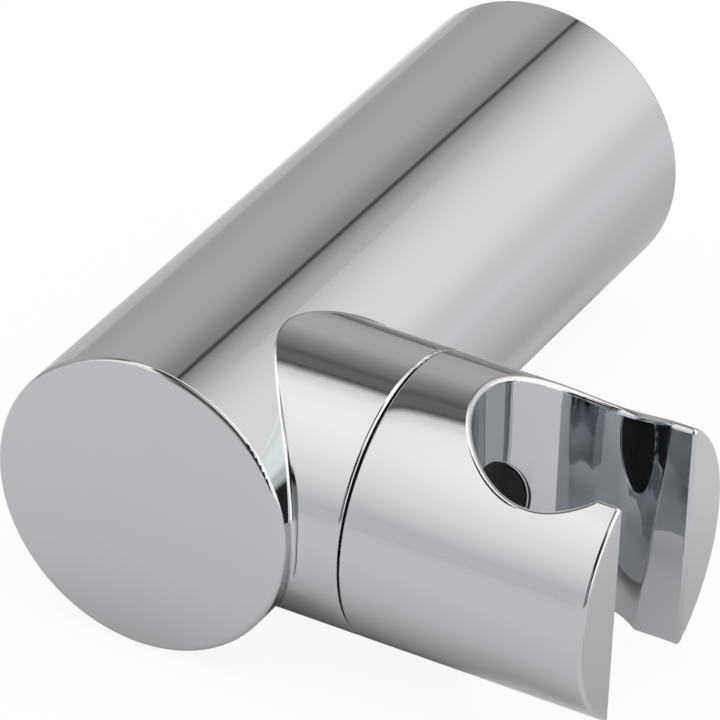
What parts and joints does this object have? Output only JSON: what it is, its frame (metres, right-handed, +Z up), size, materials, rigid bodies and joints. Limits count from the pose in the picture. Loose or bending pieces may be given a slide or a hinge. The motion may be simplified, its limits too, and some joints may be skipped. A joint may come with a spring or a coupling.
{
  "type": "hand shower holder",
  "caption": "Round chromed wall tube with a swivelling side head whose conical, slotted seat holds a hand shower's handle.",
  "frame": {"origin": "centre of the face of the tube that meets the wall", "axes": "+Y into the wall, -Y out into the room along the tube, +Z up, +X along the swivel axis towards the open end of the head"},
  "size_m": [0.079, 0.1034, 0.04],
  "materials": {
    "chrome_body": "polished chrome plate on cast metal",
    "chrome_cap": "polished chrome plate",
    "chrome_head": "polished chrome plate on cast metal",
    "black_plastic": "moulded black, semi-gloss",
    "rubber": "black moulded rubber",
    "acetal": "natural acetal",
    "nylon": "tinted nylon",
    "steel": "stainless steel",
    "spring_steel": "stainless spring steel"
  },
  "bodies": {
    "bracket": {"bracket_body": "chrome_body", "front_cap": "chrome_cap", "cap_ring": "rubber", "outer_bush": "acetal", "inner_bush": "acetal"},
    "head": {"holder_head": "chrome_head", "spigot_ring": "rubber", "screw_cover": "black_plastic", "pivot_screw": "steel", "head_washer": "steel", "pressure_washer": "steel", "disc_spring_near": "spring_steel", "disc_spring_far": "spring_steel", "lock_nut": "steel", "nut_insert": "nylon"}
  },
  "joints": [
    {"name": "head_swivel", "type": "hinge", "parent": "bracket", "child": "head", "pos_m": [0.0263, -0.0832, 0], "axis": [1, 0, 0], "continuous": true}
  ]
}
